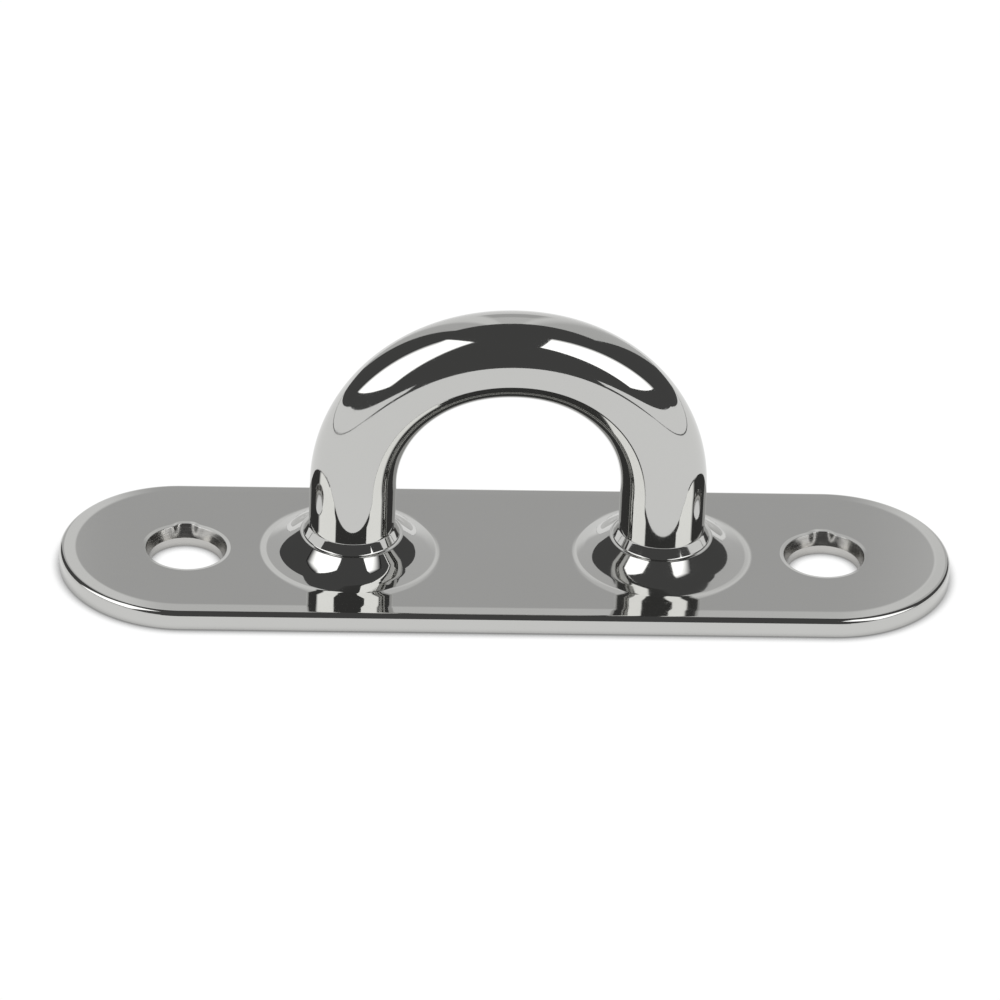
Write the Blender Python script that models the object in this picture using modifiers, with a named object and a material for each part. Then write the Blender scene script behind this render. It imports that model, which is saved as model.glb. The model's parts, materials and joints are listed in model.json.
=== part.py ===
"""Pad eye (boat hardware): a bent-rod eye whose legs are welded into the raised collars of an oblong base plate.

Metres, +Z up, +X along the plate. The origin is the centre of the plate's underside, which rests on the deck.
"""

import math

import bmesh
import bpy

MM = 0.001

# Base plate: sheet with full-round ends.
PLATE_LENGTH = 62.0 * MM
PLATE_WIDTH = 17.0 * MM
PLATE_THICKNESS = 1.5 * MM
TOP_EDGE_ROUND = 0.4 * MM
UNDER_EDGE_ROUND = 0.15 * MM
END_STEPS = 32
EDGE_STEPS = 3

# Screw holes, one near each end, that widen steeply upwards to a shallow polished break round the rim.
SCREW_SPACING = 44.4 * MM
SCREW_BORE_RADIUS = 2.5 * MM
SCREW_BORE_MOUTH_HEIGHT = 0.68 * MM
SCREW_RIM_RADIUS = 2.82 * MM
SCREW_BREAK_RADIUS = 3.08 * MM
SCREW_BREAK_DEPTH = 0.05 * MM
SCREW_STEPS = 40

# Eye: round bar bent to a half circle on two upright legs.
ROD_RADIUS = 3.0 * MM
EYE_SPACING = 21.5 * MM
EYE_RADIUS = EYE_SPACING / 2
ARC_CENTRE_ABOVE_PLATE = 5.15 * MM
ROD_END_HEIGHT = 0.3 * MM
ROD_END_BREAK = 0.3 * MM
ARC_STEPS = 24
ROD_SIDES = 28

# Collars: pressed up out of the sheet round each leg. Each pair is the skin's slope, in degrees, at a radius.
COLLAR_SLOPES = (
    (3.45 * MM, 9.0), (3.62 * MM, 38.0), (4.4 * MM, 36.0), (5.1 * MM, 28.0),
    (5.3 * MM, 21.0), (5.8 * MM, 18.0), (5.95 * MM, 9.0), (6.5 * MM, 0.0),
)
COLLAR_RADII = tuple(radius * MM for radius in (6.5, 6.2, 5.85, 5.55, 5.2, 4.8, 4.3, 3.85, 3.6, 3.45))
COLLAR_FOOT_SINK = 0.03 * MM
COLLAR_STEPS = 48

# Touching bodies keep this gap.
CLEARANCE = 0.3 * MM
LEG_HOLE_RADIUS = ROD_RADIUS + CLEARANCE

# The hollow that the pressing leaves under each collar, and the weld that fills its corner round the leg.
CUP_ROOF_RADIUS = 3.7 * MM
CUP_MOUTH_RADIUS = 5.7 * MM
CUP_ROOF_HEIGHT = 1.2 * MM
WELD_OUTER_RADIUS = 4.6 * MM
WELD_HEIGHT = 0.25 * MM
WELD_STEPS = 40

CUT_MARGIN = 1.0 * MM
MERGE_DISTANCE = 0.002 * MM
SHARP_ANGLE = math.radians(35.0)
SLOPE_STEP = 0.05 * MM

STEEL = (0.56, 0.56, 0.55, 1.0)
WELD_STEEL = (0.42, 0.40, 0.38, 1.0)


def clear_scene():
    for old in list(bpy.data.objects):
        bpy.data.objects.remove(old, do_unlink=True)


def new_collection(name):
    collection = bpy.data.collections.new(name)
    bpy.context.scene.collection.children.link(collection)
    return collection


def metal(name, colour, roughness):
    material = bpy.data.materials.new(name)
    material.use_nodes = True
    shader = material.node_tree.nodes["Principled BSDF"]
    shader.inputs["Base Color"].default_value = colour
    shader.inputs["Metallic"].default_value = 1.0
    shader.inputs["Roughness"].default_value = roughness
    material.diffuse_color = colour
    return material


def turned(name, profile, steps, collection, x=0.0, ring=False):
    """A body turned about the upright axis through x. The profile lists (radius, height) down its outer side."""
    edges = [(index, index + 1) for index in range(len(profile) - 1)]
    if ring:
        edges.append((len(profile) - 1, 0))
    mesh = bpy.data.meshes.new(name)
    mesh.from_pydata([(radius, 0.0, height) for radius, height in profile], edges, [])
    body = bpy.data.objects.new(name, mesh)
    collection.objects.link(body)
    body.location.x = x
    turn = body.modifiers.new("Turn", "SCREW")
    turn.steps = steps
    turn.render_steps = steps
    turn.use_merge_vertices = True
    turn.merge_threshold = MERGE_DISTANCE
    return body


def as_helper(body):
    """Marks a body that only joins or cuts another."""
    body.hide_render = True
    body.display_type = "WIRE"
    return body


def boolean(target, operation, tools):
    """Joins every body of a collection to the target, or cuts them all from it."""
    modifier = target.modifiers.new(f"{operation.title()} {tools.name}", "BOOLEAN")
    modifier.operation = operation
    modifier.operand_type = "COLLECTION"
    modifier.collection = tools


def mesh_object(source, name, collection):
    """Replaces an object by a plain mesh of its evaluated shape, in the same place."""
    graph = bpy.context.evaluated_depsgraph_get()
    mesh = bpy.data.meshes.new_from_object(source.evaluated_get(graph))
    body = bpy.data.objects.new(name, mesh)
    body.matrix_world = source.matrix_world.copy()
    collection.objects.link(body)
    bpy.data.objects.remove(source, do_unlink=True)
    return body


def plate_outline():
    """Points round the plate, anticlockwise: a half circle at each end, joined by its straight sides."""
    end_radius = PLATE_WIDTH / 2
    end_x = PLATE_LENGTH / 2 - end_radius
    points = []
    for side in (1, -1):
        for step in range(END_STEPS + 1):
            angle = math.pi * step / END_STEPS - math.pi / 2
            x = side * (end_x + end_radius * math.cos(angle))
            y = side * end_radius * math.sin(angle)
            points.append((x, y))
    return points


def make_slab(collection):
    """The plain oblong sheet, with its rims rounded."""
    outline = plate_outline()
    curve = bpy.data.curves.new("plate_outline", "CURVE")
    curve.dimensions = "2D"
    curve.fill_mode = "BOTH"
    curve.extrude = PLATE_THICKNESS / 2
    spline = curve.splines.new("POLY")
    spline.points.add(len(outline) - 1)
    for point, (x, y) in zip(spline.points, outline):
        point.co = (x, y, 0.0, 1.0)
    spline.use_cyclic_u = True
    flat = bpy.data.objects.new("plate_outline", curve)
    flat.location.z = PLATE_THICKNESS / 2
    collection.objects.link(flat)
    bpy.context.view_layer.update()
    slab = mesh_object(flat, "base_plate", collection)

    shape = bmesh.new()
    shape.from_mesh(slab.data)
    bmesh.ops.remove_doubles(shape, verts=shape.verts, dist=MERGE_DISTANCE)
    bmesh.ops.dissolve_limit(shape, angle_limit=math.radians(1.0), verts=shape.verts, edges=shape.edges)
    for side, width in ((1, TOP_EDGE_ROUND), (-1, UNDER_EDGE_ROUND)):
        rim = [
            edge for edge in shape.edges
            if all(side * vert.co.z > PLATE_THICKNESS / 4 for vert in edge.verts)
        ]
        bmesh.ops.bevel(shape, geom=rim, offset=width, segments=EDGE_STEPS, profile=0.5, affect="EDGES")
    bmesh.ops.recalc_face_normals(shape, faces=shape.faces)
    shape.to_mesh(slab.data)
    shape.free()
    return slab


def collar_slope(radius):
    """Slope of the collar's skin at a radius, as rise over run."""
    for (inner, inner_slope), (outer, outer_slope) in zip(COLLAR_SLOPES, COLLAR_SLOPES[1:]):
        if radius <= outer:
            share = (radius - inner) / (outer - inner)
            return math.tan(math.radians(inner_slope + share * (outer_slope - inner_slope)))
    return 0.0


def collar_rise(radius):
    """Height of the collar's skin above the plate, from its slopes between its foot and this radius."""
    foot = COLLAR_SLOPES[-1][0]
    steps = max(1, round((foot - radius) / SLOPE_STEP))
    width = (foot - radius) / steps
    return sum(collar_slope(radius + (step + 0.5) * width) * width for step in range(steps))


def collar_form(name, x, collection):
    """The pressed-up collar, solid down to the middle of the sheet."""
    crest = PLATE_THICKNESS + collar_rise(COLLAR_RADII[-1])
    skin = [(radius, PLATE_THICKNESS + collar_rise(radius)) for radius in reversed(COLLAR_RADII[1:])]
    foot = COLLAR_RADII[0]
    profile = [(0.0, crest), *skin, (foot, PLATE_THICKNESS - COLLAR_FOOT_SINK)]
    profile += [(foot, PLATE_THICKNESS / 2), (0.0, PLATE_THICKNESS / 2)]
    return as_helper(turned(name, profile, COLLAR_STEPS, collection, x))


def collar_hollow(name, x, collection):
    """The hole for the leg and the hollow under the collar."""
    top = PLATE_THICKNESS + collar_rise(COLLAR_RADII[-1]) + CUT_MARGIN
    fall = CUP_ROOF_HEIGHT / (CUP_MOUTH_RADIUS - CUP_ROOF_RADIUS)
    below = CUP_MOUTH_RADIUS + CUT_MARGIN / fall
    profile = [
        (0.0, top),
        (LEG_HOLE_RADIUS, top),
        (LEG_HOLE_RADIUS, CUP_ROOF_HEIGHT),
        (CUP_ROOF_RADIUS, CUP_ROOF_HEIGHT),
        (below, -CUT_MARGIN),
        (0.0, -CUT_MARGIN),
    ]
    return as_helper(turned(name, profile, COLLAR_STEPS, collection, x))


def screw_hole(name, x, collection):
    """The screw's bore, its wider upper part, and the shallow break round the rim."""
    rim_height = PLATE_THICKNESS - SCREW_BREAK_DEPTH
    rise = SCREW_BREAK_DEPTH / (SCREW_BREAK_RADIUS - SCREW_RIM_RADIUS)
    above = SCREW_BREAK_RADIUS + CUT_MARGIN
    profile = [
        (0.0, PLATE_THICKNESS + CUT_MARGIN),
        (above, PLATE_THICKNESS + CUT_MARGIN),
        (above, PLATE_THICKNESS + rise * CUT_MARGIN),
        (SCREW_RIM_RADIUS, rim_height),
        (SCREW_BORE_RADIUS, SCREW_BORE_MOUTH_HEIGHT),
        (SCREW_BORE_RADIUS, -CUT_MARGIN),
        (0.0, -CUT_MARGIN),
    ]
    return as_helper(turned(name, profile, SCREW_STEPS, collection, x))


def make_base_plate(parts, material):
    pressings = new_collection("pad_eye_pressings")
    cutters = new_collection("pad_eye_cutters")
    for side, x in (("left", -EYE_SPACING / 2), ("right", EYE_SPACING / 2)):
        collar_form(f"collar_form_{side}", x, pressings)
        collar_hollow(f"collar_hollow_{side}", x, cutters)
    for side, x in (("left", -SCREW_SPACING / 2), ("right", SCREW_SPACING / 2)):
        screw_hole(f"screw_hole_{side}", x, cutters)
    plate = make_slab(parts)
    boolean(plate, "UNION", pressings)
    boolean(plate, "DIFFERENCE", cutters)
    plate.name = "base_plate_stock"
    bpy.context.view_layer.update()
    plate = mesh_object(plate, "base_plate", parts)
    plate.data.shade_smooth()
    plate.data.set_sharp_from_angle(angle=SHARP_ANGLE)
    plate.data.materials.append(material)
    return plate


def make_eye_bow(parts, material):
    """The bent bar: up one leg, round the half circle and down the other, with a small break at each end."""
    arc_height = PLATE_THICKNESS + ARC_CENTRE_ABOVE_PLATE
    leg = [(ROD_END_HEIGHT, 1.0 - ROD_END_BREAK / ROD_RADIUS), (ROD_END_HEIGHT + ROD_END_BREAK, 1.0)]
    path = [(-EYE_RADIUS, height, share) for height, share in leg]
    for step in range(ARC_STEPS + 1):
        angle = math.pi - math.pi * step / ARC_STEPS
        path.append((EYE_RADIUS * math.cos(angle), arc_height + EYE_RADIUS * math.sin(angle), 1.0))
    path += [(EYE_RADIUS, height, share) for height, share in reversed(leg)]

    curve = bpy.data.curves.new("eye_bow", "CURVE")
    curve.dimensions = "3D"
    curve.bevel_depth = ROD_RADIUS
    curve.bevel_resolution = (ROD_SIDES - 4) // 2
    curve.use_fill_caps = True
    spline = curve.splines.new("POLY")
    spline.points.add(len(path) - 1)
    for point, (x, z, share) in zip(spline.points, path):
        point.co = (x, 0.0, z, 1.0)
        point.radius = share
    curve.materials.append(material)
    bow = bpy.data.objects.new("eye_bow", curve)
    parts.objects.link(bow)
    return bow


def make_weld(name, x, parts, material):
    """The weld bead in the corner between the leg and the roof of the collar's hollow."""
    inner = ROD_RADIUS + CLEARANCE
    roof = CUP_ROOF_HEIGHT - CLEARANCE
    fall = CUP_ROOF_HEIGHT / (CUP_MOUTH_RADIUS - CUP_ROOF_RADIUS)
    shoulder = CUP_ROOF_RADIUS - CLEARANCE
    outer_height = roof - fall * (WELD_OUTER_RADIUS - shoulder)
    profile = [
        (inner, roof),
        (shoulder, roof),
        (WELD_OUTER_RADIUS, outer_height),
        (WELD_OUTER_RADIUS - WELD_HEIGHT / 2, WELD_HEIGHT / 2),
        (inner, WELD_HEIGHT),
    ]
    weld = turned(name, profile, WELD_STEPS, parts, x, ring=True)
    bpy.context.view_layer.update()
    weld.name = f"{name}_stock"
    weld = mesh_object(weld, name, parts)
    weld.data.shade_smooth()
    weld.data.set_sharp_from_angle(angle=SHARP_ANGLE)
    weld.data.materials.append(material)
    return weld


def main():
    clear_scene()
    parts = new_collection("pad_eye")
    make_base_plate(parts, metal("polished_plate", STEEL, 0.06))
    make_eye_bow(parts, metal("polished_rod", STEEL, 0.05))
    for side, x in (("left", -EYE_SPACING / 2), ("right", EYE_SPACING / 2)):
        make_weld(f"weld_{side}", x, parts, metal(f"weld_bead_{side}", WELD_STEEL, 0.35))


main()
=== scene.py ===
"""Pad eye: the finished look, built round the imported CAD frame.

Lengths are in millimetres until a mesh is made, and every main size is read from the frame. +X runs
along the plate, +Z up out of the deck, and the origin is the centre of the plate's underside.
"""

import json
import math

import bpy
from mathutils import Matrix, Vector
from mathutils.geometry import tessellate_polygon


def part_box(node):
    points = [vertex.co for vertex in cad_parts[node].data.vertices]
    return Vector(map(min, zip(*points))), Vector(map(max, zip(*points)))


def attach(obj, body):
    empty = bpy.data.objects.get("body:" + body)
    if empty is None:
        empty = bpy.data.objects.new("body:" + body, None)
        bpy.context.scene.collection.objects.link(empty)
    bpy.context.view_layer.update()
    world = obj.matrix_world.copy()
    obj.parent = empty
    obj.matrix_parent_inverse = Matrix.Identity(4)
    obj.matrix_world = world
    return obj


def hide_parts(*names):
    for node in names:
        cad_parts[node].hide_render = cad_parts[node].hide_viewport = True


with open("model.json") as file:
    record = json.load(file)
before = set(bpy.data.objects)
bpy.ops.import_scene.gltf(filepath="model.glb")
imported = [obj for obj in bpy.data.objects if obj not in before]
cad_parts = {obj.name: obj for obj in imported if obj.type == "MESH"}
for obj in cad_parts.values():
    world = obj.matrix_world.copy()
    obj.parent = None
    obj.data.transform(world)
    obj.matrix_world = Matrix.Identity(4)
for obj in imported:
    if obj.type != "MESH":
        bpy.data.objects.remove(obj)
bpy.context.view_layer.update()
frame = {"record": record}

MM = 0.001
PLACE_DIGITS = 4
UP = Vector((0.0, 0.0, 1.0))
DOWN = Vector((0.0, 0.0, -1.0))

# Sizes that the frame gives.
plate_low, plate_high = (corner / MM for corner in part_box("base_plate"))
bow_low, bow_high = (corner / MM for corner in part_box("eye_bow"))
mounts = {mount["name"]: Vector(mount["pos_m"]) / MM for mount in frame["record"]["mounts"]}
PLATE_TOP = mounts["left_screw_land"].z
END_RADIUS = plate_high.y
END_CENTRE = plate_high.x - END_RADIUS
SCREW_X = mounts["right_screw_land"].x
BAR_RADIUS = bow_high.y
LEG_X = bow_high.x - BAR_RADIUS
BOW_TOP = bow_high.z - BAR_RADIUS
BAR_END = bow_low.z

# Plate edge: a slight roll-off, then the round, then the side and a small under-edge round.
ROLL_START = 1.05
ROLL_SLOPE = math.radians(4.5)
ROLL_RADIUS = 3.5
TOP_ROUND = 0.4
UNDER_ROUND = 0.15
TOP_MARGIN = 0.05
UNDER_MARGIN = 0.6
END_STEPS = 96

# Screw holes: a rim that rolls in, a steep mouth and the bore, with a shallow nick towards the back.
ROLL_IN_RADIUS = 3.08
ROLL_IN_ROUND = 0.3
RIM_RADIUS = 2.82
RIM_DROP = 0.045
RIM_ROUND = 0.06
BORE_MOUTH_RADIUS = 2.52
BORE_MOUTH_UP = 0.68
BORE_MOUTH_ROUND = 0.12
BORE_RADIUS = 2.5
BORE_BREAK = 0.05
LAND_RADIUS = 3.7
NICK_DEPTH = 0.32
NICK_ANGLE = math.radians(15.0)
HOLE_SIDES = 180

# Collars, outwards from the leg: the weld's flare, the crest, the pressed skin and the foot. Each point is
# a radius and the slope there in degrees, and the steps are the most that either changes from row to row.
COLLAR_SLOPES = (
    (3.0, 80.0), (3.012, 66.0), (3.05, 64.0), (3.31, 63.0), (3.4, 10.0), (3.48, 8.0), (3.6, 40.0),
    (4.3, 38.0), (5.1, 26.0), (5.3, 21.0), (5.8, 18.0), (5.95, 9.0), (6.1, 8.0), (6.5, 0.0),
)
COLLAR_TURN_STEP = 2.5
COLLAR_REACH_STEP = 0.08
COLLAR_SIDES = 144

# Hollow under each collar, and the leg's hole in its roof, which the bar's surface just covers.
LEG_HOLE_OVERLAP = 0.02
LEG_HOLE_RADIUS = BAR_RADIUS - LEG_HOLE_OVERLAP
CUP_ROOF_HEIGHT = 1.2
CUP_ROOF_RADIUS = 4.5
CUP_ROOF_ROUND = 0.5
CUP_MOUTH_RADIUS = 5.7
CUP_MOUTH_ROUND = 0.5
CUP_MARGIN = 0.1

# Eye: a superellipse, which is a little fuller at the shoulders than a half circle.
ARC_CENTRE = 6.9
ARC_POWER = 2.06
BAR_SIDES = 144
ARC_STEPS = 192
BAR_END_BREAK = 0.3

# Weld bead in the hollow.
BEAD_REACH = 1.25
BEAD_HEIGHT = 0.75
BEAD_POWER = 1.4
BEAD_BULGE = 0.22
BEAD_RIPPLES = 34
BEAD_RIPPLE_DEPTH = 0.05
BEAD_RIPPLE_LEAN = 0.35
BEAD_SIDES = 408
BEAD_STEPS = 16


class Skin:
    """One piece's surface: points that its faces share, and the true normal at every face corner."""

    def __init__(self):
        self.points = []
        self.numbers = {}
        self.faces = []
        self.normals = []
        self.finishes = []

    def number(self, place):
        """The number of the point at this place, which is added if it is new."""
        key = tuple(round(value, PLACE_DIGITS) for value in place)
        if key not in self.numbers:
            self.numbers[key] = len(self.points)
            self.points.append(Vector(place))
        return self.numbers[key]

    def face(self, corners, finish):
        """Adds a face through (place, normal) corners, turned to the side that its normals point to."""
        kept = {}
        for place, normal in corners:
            kept.setdefault(self.number(place), normal)
        if len(kept) < 3:
            return
        loop = list(kept.items())
        flat = area_normal([self.points[number] for number, normal in loop])
        if flat.dot(sum((normal for number, normal in loop), Vector())) < 0.0:
            loop.reverse()
        self.faces.append([number for number, normal in loop])
        self.normals.extend(normal for number, normal in loop)
        self.finishes.append(finish)

    def band(self, rows, finish):
        """Joins each closed row of (place, normal) to the next one."""
        for row, beyond in zip(rows, rows[1:]):
            for here in range(len(row)):
                after = (here + 1) % len(row)
                self.face([row[here], row[after], beyond[after], beyond[here]], finish)

    def flat(self, rows, normal, finish):
        """Fills the flat area inside the first row and outside the others."""
        loops = [[place for place, row_normal in row] for row in rows]
        places = [place for loop in loops for place in loop]
        for triangle in tessellate_polygon(loops):
            self.face([(places[corner], normal) for corner in triangle], finish)

    def piece(self, name, materials, true_normals=True):
        """Makes the object. Each face's finish is the number of its material."""
        mesh = bpy.data.meshes.new(name)
        mesh.from_pydata([point * MM for point in self.points], [], self.faces)
        for material in materials:
            mesh.materials.append(material)
        mesh.polygons.foreach_set("material_index", self.finishes)
        mesh.shade_smooth()
        if true_normals:
            mesh.normals_split_custom_set([tuple(normal) for normal in self.normals])
        mesh.update()
        made = bpy.data.objects.new(name, mesh)
        bpy.context.scene.collection.objects.link(made)
        return made


def area_normal(places):
    """The normal of a polygon, as long as twice its area."""
    total = Vector()
    for place, after in zip(places, places[1:] + places[:1]):
        total += place.cross(after)
    return total


def rounded(corners, arc_steps=8):
    """A profile through (out, up, radius) corners, as (out, up, heading) rows, the heading in radians.

    A corner with a radius becomes an arc. One without stays sharp and comes twice, once with each heading.
    """
    rows = []
    headings = [
        math.atan2(after[1] - before[1], after[0] - before[0])
        for before, after in zip(corners, corners[1:])
    ]
    rows.append((corners[0][0], corners[0][1], headings[0]))
    for (out, up, radius), heading, beyond in zip(corners[1:-1], headings, headings[1:]):
        turn = (beyond - heading + math.pi) % math.tau - math.pi
        reach = radius * math.tan(abs(turn) / 2)
        side = math.copysign(radius, turn)
        centre_out = out - reach * math.cos(heading) - side * math.sin(heading)
        centre_up = up - reach * math.sin(heading) + side * math.cos(heading)
        for step in range(arc_steps + 1 if radius else 2):
            way = heading + turn * step / (arc_steps if radius else 1)
            rows.append((centre_out + side * math.sin(way), centre_up - side * math.cos(way), way))
    rows.append((corners[-1][0], corners[-1][1], headings[-1]))
    return rows


def normal_of(way, heading):
    """The normal to the left of a profile's heading, in the upright plane that holds the level way."""
    return way * -math.sin(heading) + UP * math.cos(heading)


def round_ways(count, first=0.0, sweep=math.tau):
    """Level directions at equal steps. A full turn leaves out the last, which would repeat the first."""
    return [
        Vector((math.cos(first + sweep * step / count), math.sin(first + sweep * step / count), 0.0))
        for step in range(count)
    ]


def turned(centre_x, profile, sides):
    """Rows of a profile turned about the upright line at centre_x."""
    centre = Vector((centre_x, 0.0, 0.0))
    ways = round_ways(sides)
    return [
        [(centre + way * out + UP * up, normal_of(way, heading)) for way in ways]
        for out, up, heading in profile
    ]


def nicked(rows, profile, centre_x):
    """A hole's rows, moved outwards round the nick. The land's edge and the bore stay where they are."""
    centre = Vector((centre_x, 0.0, 0.0))
    moved = []
    for row, (out, up, heading) in zip(rows, profile):
        share = min(1.0, (LAND_RADIUS - out) / (LAND_RADIUS - ROLL_IN_RADIUS))
        share *= max(0.0, min(1.0, (out - BORE_MOUTH_RADIUS) / (RIM_RADIUS - BORE_MOUTH_RADIUS)))
        new_row = []
        for place, normal in row:
            way = (place - centre - UP * up).normalized()
            across = Vector((-way.y, way.x, 0.0))
            turn = math.atan2(way.x, way.y) / NICK_ANGLE
            shift = NICK_DEPTH * share * math.exp(-turn ** 4)
            lean = -4.0 * turn ** 3 * shift / NICK_ANGLE / out
            new_row.append((place + way * shift, (normal + across * lean * normal.dot(way)).normalized()))
        moved.append(new_row)
    return moved


def swept_round_plate(profile):
    """Rows of a profile swept round the oblong, with its out measured from the centres of the ends."""
    stations = []
    for side in (1.0, -1.0):
        centre = Vector((END_CENTRE * side, 0.0, 0.0))
        for step in range(END_STEPS + 1):
            angle = math.pi * (step / END_STEPS - 0.5)
            stations.append((centre, Vector((math.cos(angle), math.sin(angle), 0.0)) * side))
    return [
        [(centre + way * out + UP * up, normal_of(way, heading)) for centre, way in stations]
        for out, up, heading in profile
    ]


def collar_profile():
    """The skin from the collar's foot in to the leg, which rises by its slope at every step."""
    rows = [(COLLAR_SLOPES[-1][0], PLATE_TOP, math.pi)]
    for (outer, outer_slope), (inner, inner_slope) in zip(COLLAR_SLOPES[::-1], COLLAR_SLOPES[-2::-1]):
        steps = math.ceil(max(abs(inner_slope - outer_slope) / COLLAR_TURN_STEP,
                              (outer - inner) / COLLAR_REACH_STEP))
        for step in range(steps):
            middle = outer_slope + (inner_slope - outer_slope) * (step + 0.5) / steps
            slope = outer_slope + (inner_slope - outer_slope) * (step + 1) / steps
            radius = outer + (inner - outer) * (step + 1) / steps
            rise = math.tan(math.radians(middle)) * (outer - inner) / steps
            rows.append((radius, rows[-1][1] + rise, math.pi - math.radians(slope)))
    return rows


def flipped(profile):
    """The same profile with its normals on the other side."""
    return [(out, up, heading + math.pi) for out, up, heading in profile]


def add_plate_edge(skin):
    """The plate's edge, all the way round. Returns its rows on the top face and the underside."""
    roll_drop = ROLL_START * math.tan(ROLL_SLOPE)
    rows = swept_round_plate(rounded((
        (END_RADIUS - ROLL_START - ROLL_RADIUS * math.tan(ROLL_SLOPE / 2) - TOP_MARGIN, PLATE_TOP, 0.0),
        (END_RADIUS - ROLL_START, PLATE_TOP, ROLL_RADIUS),
        (END_RADIUS, PLATE_TOP - roll_drop, TOP_ROUND),
        (END_RADIUS, 0.0, UNDER_ROUND),
        (END_RADIUS - UNDER_MARGIN, 0.0, 0.0),
    )))
    skin.band(rows, POLISHED)
    return rows[0], rows[-1]


def add_screw_hole(skin, centre_x):
    """One screw hole. Returns its rows on the top face and the underside."""
    profile = flipped(rounded((
        (LAND_RADIUS, PLATE_TOP, 0.0),
        (ROLL_IN_RADIUS, PLATE_TOP, ROLL_IN_ROUND),
        (RIM_RADIUS, PLATE_TOP - RIM_DROP, RIM_ROUND),
        (BORE_MOUTH_RADIUS, BORE_MOUTH_UP, BORE_MOUTH_ROUND),
        (BORE_RADIUS, BORE_BREAK, 0.0),
        (BORE_RADIUS + BORE_BREAK, 0.0, 0.0),
    )))
    rows = nicked(turned(centre_x, profile, HOLE_SIDES), profile, centre_x)
    wall_start = next(number for number, row in enumerate(profile) if row[0] <= RIM_RADIUS)
    skin.band(rows[:wall_start + 1], POLISHED)
    skin.band(rows[wall_start:], DRILLED)
    return rows[0], rows[-1]


def add_collar(skin, centre_x):
    """One collar with the hollow below it. Returns their rows on the top face and the underside."""
    profile = collar_profile()
    flare_top = profile[-1][1]
    collar = turned(centre_x, flipped(profile), COLLAR_SIDES)
    hollow = turned(centre_x, flipped(rounded((
        (BAR_RADIUS, flare_top, 0.0),
        (LEG_HOLE_RADIUS, flare_top, 0.0),
        (LEG_HOLE_RADIUS, CUP_ROOF_HEIGHT, 0.0),
        (CUP_ROOF_RADIUS, CUP_ROOF_HEIGHT, CUP_ROOF_ROUND),
        (CUP_MOUTH_RADIUS, 0.0, CUP_MOUTH_ROUND),
        (CUP_MOUTH_RADIUS + CUP_MOUTH_ROUND + CUP_MARGIN, 0.0, 0.0),
    ))), COLLAR_SIDES)
    skin.band(collar, POLISHED)
    skin.band(hollow, MILLED)
    return collar[0], hollow[-1]


def make_base_plate():
    """The plate, with its two screw holes and two collars."""
    skin = Skin()
    rows = [add_plate_edge(skin)]
    for side in (-1.0, 1.0):
        rows.append(add_screw_hole(skin, SCREW_X * side))
        rows.append(add_collar(skin, LEG_X * side))
    tops, unders = zip(*rows)
    skin.flat(tops, UP, POLISHED)
    skin.flat(unders, DOWN, MILLED)
    return skin.piece("base_plate_polished", [polished_plate(), milled_underside(), drilled_hole()])


def bow_stations():
    """Points along the middle of the bar, from left to right, each with its outward direction."""
    stations = [(Vector((-LEG_X, 0.0, BAR_END + BAR_END_BREAK)), Vector((-1.0, 0.0, 0.0)))]
    height = BOW_TOP - ARC_CENTRE
    for step in range(ARC_STEPS + 1):
        angle = math.pi * (1.0 - step / ARC_STEPS)
        across, up = math.cos(angle), abs(math.sin(angle))
        place = Vector((
            math.copysign(abs(across) ** (2 / ARC_POWER), across) * LEG_X, 0.0,
            ARC_CENTRE + up ** (2 / ARC_POWER) * height,
        ))
        out = Vector((
            math.copysign(abs(across) ** (2 - 2 / ARC_POWER), across) / LEG_X, 0.0,
            up ** (2 - 2 / ARC_POWER) / height,
        ))
        stations.append((place, out.normalized()))
    stations.append((Vector((LEG_X, 0.0, BAR_END + BAR_END_BREAK)), Vector((1.0, 0.0, 0.0))))
    return stations


def make_eye_bow():
    """The bent bar, with both its cut ends."""
    across = Vector((0.0, 1.0, 0.0))
    angles = [math.tau * side / BAR_SIDES for side in range(BAR_SIDES)]
    rows = []
    for centre, out in bow_stations():
        normals = [out * math.cos(angle) + across * math.sin(angle) for angle in angles]
        rows.append([(centre + normal * BAR_RADIUS, normal) for normal in normals])
    skin = Skin()
    skin.band(rows, POLISHED)
    for side in (-1.0, 1.0):
        end = turned(LEG_X * side, rounded((
            (BAR_RADIUS, BAR_END + BAR_END_BREAK, 0.0),
            (BAR_RADIUS - BAR_END_BREAK, BAR_END, 0.0),
            (0.0, BAR_END, 0.0),
        )), BAR_SIDES)
        skin.band(end, MILLED)
    return skin.piece("eye_bow_polished", [polished_bar(), sawn_end()])


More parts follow.
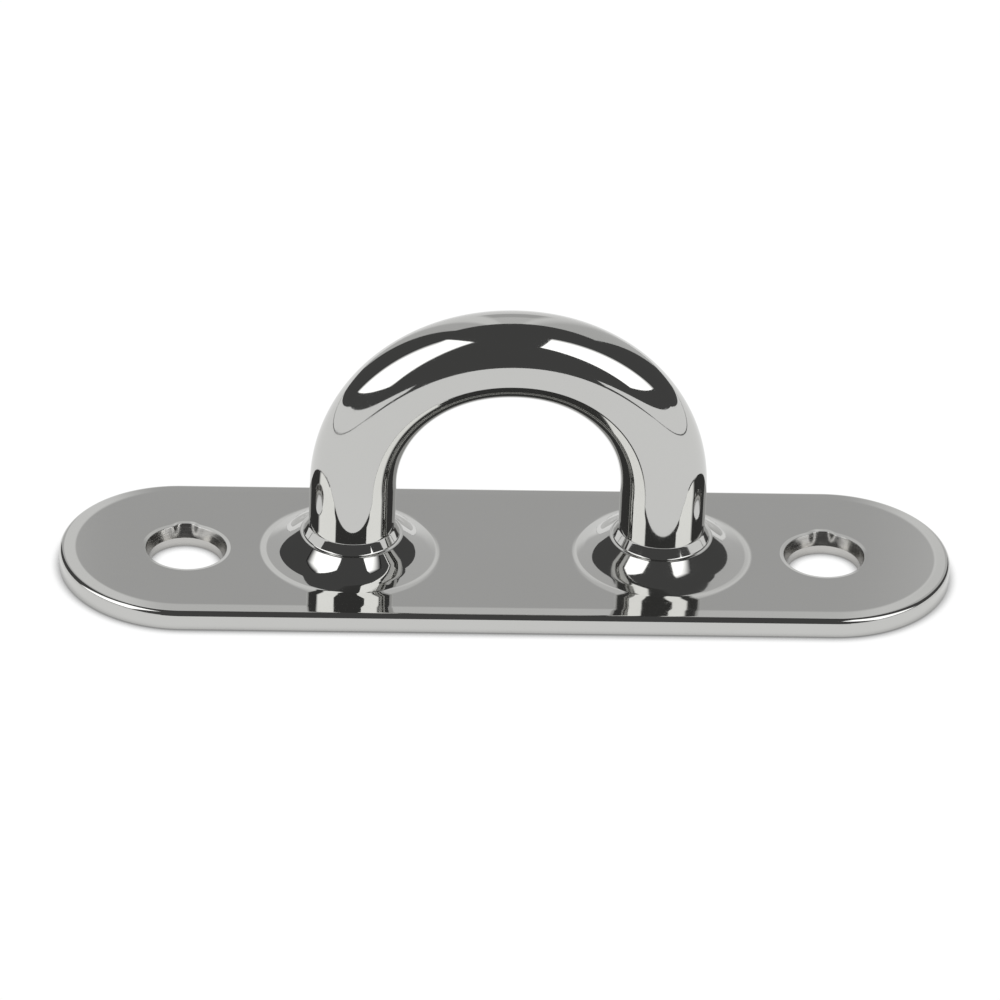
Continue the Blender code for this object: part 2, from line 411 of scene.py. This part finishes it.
def make_weld_bead(name, centre_x):
    """A fillet weld in the corner between the leg and the hollow's roof, with the ripples of its pools."""
    centre = Vector((centre_x, 0.0, CUP_ROOF_HEIGHT))
    profile = []
    for step in range(BEAD_STEPS + 1):
        share = step / BEAD_STEPS
        swell = math.sin(math.pi * share)
        bulge = 1.0 + BEAD_BULGE * swell
        out = BEAD_REACH * math.sin(share * math.pi / 2) ** BEAD_POWER * bulge
        drop = BEAD_HEIGHT * math.cos(share * math.pi / 2) ** BEAD_POWER * bulge
        profile.append((out, drop, swell))
    rows = []
    for out, drop, swell in profile:
        row = []
        for side in range(BEAD_SIDES):
            angle = math.tau * side / BEAD_SIDES
            pool = (angle / math.tau * BEAD_RIPPLES + BEAD_RIPPLE_LEAN * swell) % 1.0
            ripple = 1.0 - BEAD_RIPPLE_DEPTH * swell * (pool ** 2 * 2.0 - 0.5)
            way = Vector((math.cos(angle), math.sin(angle), 0.0))
            place = centre + way * (LEG_HOLE_RADIUS + out * ripple) - UP * drop * ripple
            row.append((place, way * out - UP * drop))
        rows.append(row)
    heel = []
    for place, normal in rows[0]:
        way = Vector((place.x - centre.x, place.y, 0.0)).normalized()
        heel.append((centre + way * LEG_HOLE_RADIUS, UP))
    skin = Skin()
    skin.band(rows, 0)
    skin.band([rows[-1], heel, rows[0]], 0)
    return skin.piece(name, [weld_metal()], true_normals=False)


# Finishes, each the number of its material in its piece: the show surface, the surface left as made, and
# the walls of the screw holes.
POLISHED = 0
MILLED = 1
DRILLED = 2

# Colours, in their order along a ramp that covers the middle half of a noise.
POLISHED_COLOURS = ((0.575, 0.575, 0.562), (0.562, 0.561, 0.546))
MILLED_COLOURS = ((0.55, 0.545, 0.53), (0.5, 0.49, 0.47), (0.42, 0.4, 0.37))
WELD_COLOURS = ((0.5, 0.48, 0.44), (0.46, 0.4, 0.31), (0.36, 0.31, 0.29), (0.34, 0.34, 0.37))
RAMP_START = 0.25
RAMP_SPAN = 0.5

# Grains: the changes a millimetre along X, Y and Z, and the detail.
PLATE_HAIRLINES = ((0.12, 11.0, 11.0), 2.0)
BAR_HAIRLINES = ((3.0, 0.8, 3.0), 2.0)
POLISH_PATCHES = ((0.11, 0.11, 0.11), 3.0)
POLISH_WAVES = ((0.45, 0.45, 0.45), 1.0)
ROLLED_LINES = ((0.3, 9.0, 4.0), 3.0)
ROLLED_STAINS = ((0.25, 0.25, 0.25), 4.0)
CUTTER_LINES = ((0.4, 0.4, 14.0), 3.0)
CUTTER_STAINS = ((0.5, 0.5, 0.5), 3.0)
SAW_LINES = ((6.0, 0.35, 0.35), 2.0)
SAW_STAINS = ((0.6, 0.6, 0.6), 3.0)
WELD_GRAIN = ((7.0, 7.0, 7.0), 4.0)
WELD_HEAT = ((0.5, 0.5, 0.9), 2.0)

# Reliefs: the height in millimetres of a grain's whole range.
HAIRLINE_DEPTH = 0.00006
WAVE_DEPTH = 0.0008
MILLED_DEPTH = 0.002
DRILLED_DEPTH = 0.0008
SAWN_DEPTH = 0.006
WELD_DEPTH = 0.006

# Roughness: the part of a grain that it follows, and its value at each end of that.
HAZE_SPAN, HAZE_ROUGHNESS = (0.4, 0.75), (0.03, 0.075)
SCUFF_SPAN, SCUFF_ROUGHNESS = (0.55, 0.8), (0.0, 0.05)
MARK_SPAN = (0.3, 0.7)
MILLED_ROUGHNESS = (0.26, 0.44)
DRILLED_ROUGHNESS = (0.12, 0.24)
SAWN_ROUGHNESS = (0.3, 0.55)
WELD_ROUGHNESS = (0.26, 0.5)


def math_node(tree, operation, *values):
    """A Math node's output. Each value is a number or an output to link."""
    made = tree.nodes.new("ShaderNodeMath")
    made.operation = operation
    for socket, value in zip(made.inputs, values):
        if isinstance(value, bpy.types.NodeSocket):
            tree.links.new(value, socket)
        else:
            socket.default_value = value
    return made.outputs[0]


def eased(tree, value, start, end, from_value=0.0, to_value=1.0):
    """An output that goes smoothly from from_value to to_value as value goes from start to end."""
    made = tree.nodes.new("ShaderNodeMapRange")
    made.interpolation_type = "SMOOTHSTEP"
    tree.links.new(value, made.inputs["Value"])
    made.inputs["From Min"].default_value = start
    made.inputs["From Max"].default_value = end
    made.inputs["To Min"].default_value = from_value
    made.inputs["To Max"].default_value = to_value
    return made.outputs["Result"]


def coordinates(tree, kind):
    """The three numbers of a texture coordinate, as three outputs."""
    source = tree.nodes.new("ShaderNodeTexCoord")
    parts = tree.nodes.new("ShaderNodeSeparateXYZ")
    tree.links.new(source.outputs[kind], parts.inputs[0])
    return parts.outputs


def grain(tree, frequencies, detail):
    """A noise from 0 to 1 that changes about this many times a millimetre along each axis."""
    source = tree.nodes.new("ShaderNodeTexCoord")
    scaled = tree.nodes.new("ShaderNodeVectorMath")
    scaled.operation = "MULTIPLY"
    scaled.inputs[1].default_value = [frequency / MM for frequency in frequencies]
    made = tree.nodes.new("ShaderNodeTexNoise")
    made.inputs["Scale"].default_value = 1.0
    made.inputs["Detail"].default_value = detail
    tree.links.new(source.outputs["Object"], scaled.inputs[0])
    tree.links.new(scaled.outputs[0], made.inputs["Vector"])
    return made.outputs[0]


def new_metal(name, colour):
    """A bare metal. Returns its material, node tree and shader."""
    material = bpy.data.materials.new(name)
    material.use_nodes = True
    material.diffuse_color = (*colour, 1.0)
    shader = material.node_tree.nodes["Principled BSDF"]
    shader.inputs["Metallic"].default_value = 1.0
    return material, material.node_tree, shader


def tint(tree, shader, amount, colours):
    """Colours the metal by amount, with the colours at equal steps along the ramp."""
    ramp = tree.nodes.new("ShaderNodeValToRGB")
    ramp.color_ramp.elements.remove(ramp.color_ramp.elements[1])
    for number, colour in enumerate(colours):
        place = RAMP_START + RAMP_SPAN * number / (len(colours) - 1)
        stop = ramp.color_ramp.elements[0] if number == 0 else ramp.color_ramp.elements.new(place)
        stop.position = place
        stop.color = (*colour, 1.0)
    tree.links.new(amount, ramp.inputs[0])
    tree.links.new(ramp.outputs[0], shader.inputs["Base Color"])


def relief(tree, shader, height):
    """Bumps the metal by a height in millimetres."""
    bump = tree.nodes.new("ShaderNodeBump")
    bump.inputs["Strength"].default_value = 1.0
    bump.inputs["Distance"].default_value = MM
    tree.links.new(height, bump.inputs["Height"])
    tree.links.new(bump.outputs["Normal"], shader.inputs["Normal"])


def polish(name, hairlines):
    """Mirror-polished steel: faint hairlines, hazy patches and a slight waviness."""
    material, tree, shader = new_metal(name, POLISHED_COLOURS[0])
    hairline = grain(tree, *hairlines)
    patch = grain(tree, *POLISH_PATCHES)
    wave = grain(tree, *POLISH_WAVES)
    tint(tree, shader, patch, POLISHED_COLOURS)
    haze = eased(tree, patch, *HAZE_SPAN, *HAZE_ROUGHNESS)
    scuff = eased(tree, hairline, *SCUFF_SPAN, *SCUFF_ROUGHNESS)
    tree.links.new(math_node(tree, "ADD", haze, scuff), shader.inputs["Roughness"])
    lines = math_node(tree, "MULTIPLY", hairline, HAIRLINE_DEPTH)
    relief(tree, shader, math_node(tree, "MULTIPLY_ADD", wave, WAVE_DEPTH, lines))
    return material


def worked(name, colours, marks, stains, roughness, depth):
    """Metal as a tool left it: stains colour it, and the tool's marks set its roughness and relief."""
    material, tree, shader = new_metal(name, colours[0])
    mark = grain(tree, *marks)
    tint(tree, shader, grain(tree, *stains), colours)
    tree.links.new(eased(tree, mark, *MARK_SPAN, *roughness), shader.inputs["Roughness"])
    relief(tree, shader, math_node(tree, "MULTIPLY", mark, depth))
    return material


def polished_plate():
    """The plate's polish, with its hairlines along the plate."""
    return polish("polished_plate", PLATE_HAIRLINES)


def polished_bar():
    """The bar's polish, with its hairlines across the plate."""
    return polish("polished_bar", BAR_HAIRLINES)


def milled_underside():
    """The plate's rolled underside: matt, with fine lines along the sheet and a few darker stains."""
    return worked(
        "milled_underside", MILLED_COLOURS, ROLLED_LINES, ROLLED_STAINS, MILLED_ROUGHNESS, MILLED_DEPTH,
    )


def drilled_hole():
    """A screw hole's wall, less polished than the plate, with the cutter's level lines round it."""
    return worked(
        "drilled_hole", MILLED_COLOURS[:2], CUTTER_LINES, CUTTER_STAINS, DRILLED_ROUGHNESS, DRILLED_DEPTH,
    )


def sawn_end():
    """The bar's cut ends, with the saw's lines across them."""
    return worked("sawn_end", MILLED_COLOURS, SAW_LINES, SAW_STAINS, SAWN_ROUGHNESS, SAWN_DEPTH)


def weld_metal():
    """A cleaned weld: satin, faintly straw and bronze where it was hottest, with a cast grain."""
    return worked("weld_metal", WELD_COLOURS, WELD_GRAIN, WELD_HEAT, WELD_ROUGHNESS, WELD_DEPTH)


# Camera, with angles in degrees: where it stands as seen from the plate's top, its roll, its lens, the
# place that it looks at, and how near and far it sees.
CAMERA_DISTANCE = 620.0
CAMERA_AZIMUTH = -3.116
CAMERA_ELEVATION = 31.82
CAMERA_ROLL = 2.326
CAMERA_LENS = 321.05
CAMERA_AIM = Vector((-0.538, 0.0, 5.642))
CAMERA_NEAR = 10.0
CAMERA_FAR = 10000.0

# Stage. The cards and softboxes are out of the camera's sight, so only the polished metal shows them.
STUDIO_GLOOM = 0.08
CAMERA_WHITE = 1.02

# Table, with a painted contact shadow that darkens its glow close to the part, and the low card along each
# side of it.
TABLE_GLOW = 0.95
TABLE_GAP = 0.01
TABLE_FRONT = 160.0
TABLE_BACK = 410.0
TABLE_SIDE = 150.0
CONTACT_SHADE = 0.9
CONTACT_SPAN = (0.3, 0.95)
CONTACT_DARK = 0.3
CONTACT_SAMPLES = 8
CARD_LIFT = 1.5
SIDE_CARD_HEIGHT = 35.0
SIDE_CARD_FRONT = 400.0
SIDE_CARD_BACK = 160.0

# Softboxes: the azimuth and elevation of the lower right, lower left, upper left and upper right corner,
# and the shares of the width over which the light comes up, from the right edge and from the left one.
SOFTBOX_GLOW = 2.0
SOFTBOX_DISTANCE = 450.0
LEFT_SOFTBOX = ((-46.0, 20.0), (-105.0, 15.0), (-105.0, 62.0), (-33.0, 65.0))
LEFT_SOFTBOX_FADES = (0.12, 0.17)
RIGHT_SOFTBOX = ((89.0, 21.0), (45.0, 17.0), (18.0, 51.0), (66.0, 71.0))
RIGHT_SOFTBOX_FADES = (0.25, 0.02)

# Back card: its left and right ends below and above, its glow, and what that turns to on each side.
BACK_CARD = 400.0
BACK_CARD_HEIGHT = 766.0
BACK_CARD_BOTTOM = (-235.0, 261.0)
BACK_CARD_TOP = (-316.0, 590.0)
BACK_GLOW = 0.88
BACK_GLOW_LEFT = 0.62
BACK_GLOW_LEFT_TURN = (-95.0, -140.0)
BACK_GLOW_RIGHT = 0.63
BACK_GLOW_RIGHT_TURN = (85.0, 187.0)

# Dim patch on the back card: where it sets in from each side and from below, and where it thins upwards.
DIM_PATCH_DEPTH = 0.345
DIM_PATCH_LEFT = (-52.0, -25.0)
DIM_PATCH_RIGHT = (98.0, 62.0)
DIM_PATCH_BOTTOM = (118.0, 150.0)
DIM_PATCH_THIN = (262.0, 335.0)
DIM_PATCH_THINNED = 0.45


def direction(azimuth, elevation):
    """The direction from the part to a place on the stage. Azimuth 0 is the front and 90 the right."""
    azimuth, elevation = math.radians(azimuth), math.radians(elevation)
    return Vector((
        math.sin(azimuth) * math.cos(elevation),
        -math.cos(azimuth) * math.cos(elevation),
        math.sin(elevation),
    ))


def make_card(name, corners):
    """A four-sided card on the stage with its own glow. Returns its object, node tree and Emission node."""
    mesh = bpy.data.meshes.new(name)
    mesh.from_pydata([corner * MM for corner in corners], [], [(0, 1, 2, 3)])
    for corner, place in zip(mesh.uv_layers.new(name="UVMap").data, ((0, 0), (1, 0), (1, 1), (0, 1))):
        corner.uv = place
    material = bpy.data.materials.new(name)
    material.use_nodes = True
    tree = material.node_tree
    tree.nodes.remove(tree.nodes["Principled BSDF"])
    glow = tree.nodes.new("ShaderNodeEmission")
    tree.links.new(glow.outputs["Emission"], tree.nodes["Material Output"].inputs["Surface"])
    mesh.materials.append(material)
    card = bpy.data.objects.new(name, mesh)
    bpy.context.scene.collection.objects.link(card)
    card.visible_camera = False
    return card, tree, glow


def make_softbox(name, directions, fades):
    """A softbox whose corners lie in these directions. Its light fades at its right and left edges."""
    rays = [direction(*corner) for corner in directions]
    middle = sum(rays, Vector()).normalized()
    corners = [ray * (SOFTBOX_DISTANCE / ray.dot(middle)) for ray in rays]
    tree, glow = make_card(name, corners)[1:]
    leftwards = coordinates(tree, "UV")[0]
    light = eased(tree, leftwards, 0.0, fades[0], 0.0, SOFTBOX_GLOW)
    light = math_node(tree, "MULTIPLY", light, eased(tree, leftwards, 1.0, 1.0 - fades[1]))
    tree.links.new(light, glow.inputs["Strength"])


def make_table():
    """The white table, which the camera sees as pure white but for a painted contact shadow close to the
    part, and which is clear from below.
    """
    ends = (
        (-TABLE_SIDE, -TABLE_FRONT), (TABLE_SIDE, -TABLE_FRONT), (TABLE_SIDE, TABLE_BACK),
        (-TABLE_SIDE, TABLE_BACK),
    )
    table, tree, glow = make_card("table", [Vector((*end, -TABLE_GAP)) for end in ends])
    table.visible_camera = True
    sight = tree.nodes.new("ShaderNodeLightPath").outputs["Is Camera Ray"]
    # Painted contact shadow: ambient occlusion darkens the table's glow close to the part and inside the
    # screw holes, for camera and mirrored rays alike.
    openness = tree.nodes.new("ShaderNodeAmbientOcclusion")
    openness.samples = CONTACT_SAMPLES
    openness.inputs["Distance"].default_value = CONTACT_SHADE * MM
    light = eased(tree, sight, 0.0, 1.0, TABLE_GLOW, CAMERA_WHITE)
    contact = eased(tree, openness.outputs["AO"], *CONTACT_SPAN, CONTACT_DARK, 1.0)
    tree.links.new(math_node(tree, "MULTIPLY", light, contact), glow.inputs["Strength"])
    below = tree.nodes.new("ShaderNodeNewGeometry").outputs["Backfacing"]
    clear = tree.nodes.new("ShaderNodeBsdfTransparent")
    choice = tree.nodes.new("ShaderNodeMixShader")
    tree.links.new(below, choice.inputs[0])
    tree.links.new(glow.outputs["Emission"], choice.inputs[1])
    tree.links.new(clear.outputs["BSDF"], choice.inputs[2])
    tree.links.new(choice.outputs[0], tree.nodes["Material Output"].inputs["Surface"])


def make_side_cards():
    """A low white card along each side of the table, which slopes down towards the back."""
    for name, edge in (("side_card_left", -TABLE_SIDE), ("side_card_right", TABLE_SIDE)):
        glow = make_card(name, [
            Vector((edge, -SIDE_CARD_FRONT, CARD_LIFT)), Vector((edge, SIDE_CARD_BACK, CARD_LIFT)),
            Vector((edge, 0.0, SIDE_CARD_HEIGHT)), Vector((edge, -SIDE_CARD_FRONT, SIDE_CARD_HEIGHT)),
        ])[2]
        glow.inputs["Strength"].default_value = TABLE_GLOW


def make_back_card():
    """The tall card behind the part: dimmer towards both sides, with a dim patch that the plate mirrors."""
    (bottom_left, bottom_right), (top_left, top_right) = BACK_CARD_BOTTOM, BACK_CARD_TOP
    tree, glow = make_card("back_card", [
        Vector((bottom_left, BACK_CARD, CARD_LIFT)), Vector((bottom_right, BACK_CARD, CARD_LIFT)),
        Vector((top_right, BACK_CARD, BACK_CARD_HEIGHT)), Vector((top_left, BACK_CARD, BACK_CARD_HEIGHT)),
    ])[1:]
    metres = coordinates(tree, "Object")
    across = math_node(tree, "MULTIPLY", metres[0], 1.0 / MM)
    height = math_node(tree, "MULTIPLY", metres[2], 1.0 / MM)
    dip = eased(tree, across, *DIM_PATCH_LEFT, 0.0, DIM_PATCH_DEPTH)
    dip = math_node(tree, "MULTIPLY", dip, eased(tree, across, *DIM_PATCH_RIGHT))
    dip = math_node(tree, "MULTIPLY", dip, eased(tree, height, *DIM_PATCH_BOTTOM))
    dip = math_node(tree, "MULTIPLY", dip, eased(tree, height, *DIM_PATCH_THIN, 1.0, DIM_PATCH_THINNED))
    light = eased(tree, across, *BACK_GLOW_RIGHT_TURN, BACK_GLOW, BACK_GLOW_RIGHT)
    left = eased(tree, across, *BACK_GLOW_LEFT_TURN, 1.0, BACK_GLOW_LEFT / BACK_GLOW)
    light = math_node(tree, "MULTIPLY", light, left)
    light = math_node(tree, "SUBTRACT", light, dip)
    tree.links.new(light, glow.inputs["Strength"])


def make_world():
    """White to the camera, and a dim studio to everything else."""
    world = bpy.data.worlds.new("studio")
    bpy.context.scene.world = world
    world.use_nodes = True
    tree = world.node_tree
    sight = tree.nodes.new("ShaderNodeLightPath").outputs["Is Camera Ray"]
    background = tree.nodes["Background"]
    background.inputs["Color"].default_value = (1.0, 1.0, 1.0, 1.0)
    tree.links.new(eased(tree, sight, 0.0, 1.0, STUDIO_GLOOM, CAMERA_WHITE), background.inputs["Strength"])


def make_camera():
    """The camera, at the photo's angle."""
    back = direction(CAMERA_AZIMUTH, CAMERA_ELEVATION)
    place = UP * PLATE_TOP + back * CAMERA_DISTANCE
    data = bpy.data.cameras.new("camera")
    data.lens = CAMERA_LENS
    data.clip_start, data.clip_end = CAMERA_NEAR * MM, CAMERA_FAR * MM
    camera = bpy.data.objects.new("camera", data)
    bpy.context.scene.collection.objects.link(camera)
    turn = (CAMERA_AIM - place).to_track_quat("-Z", "Y").to_matrix().to_4x4()
    roll = Matrix.Rotation(math.radians(CAMERA_ROLL), 4, "Z")
    camera.matrix_world = Matrix.Translation(place * MM) @ turn @ roll
    bpy.context.scene.camera = camera


make_camera()
make_world()
make_table()
make_side_cards()
make_back_card()
make_softbox("softbox_left", LEFT_SOFTBOX, LEFT_SOFTBOX_FADES)
make_softbox("softbox_right", RIGHT_SOFTBOX, RIGHT_SOFTBOX_FADES)
bpy.context.scene.view_settings.view_transform = "Standard"

plate = make_base_plate()
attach(plate, "root")
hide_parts("base_plate")

bow = make_eye_bow()
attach(bow, "root")
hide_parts("eye_bow")

for side_name, side in (("left", -1.0), ("right", 1.0)):
    bead = make_weld_bead(f"weld_bead_{side_name}", LEG_X * side)
    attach(bead, "root")
    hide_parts(f"weld_{side_name}")
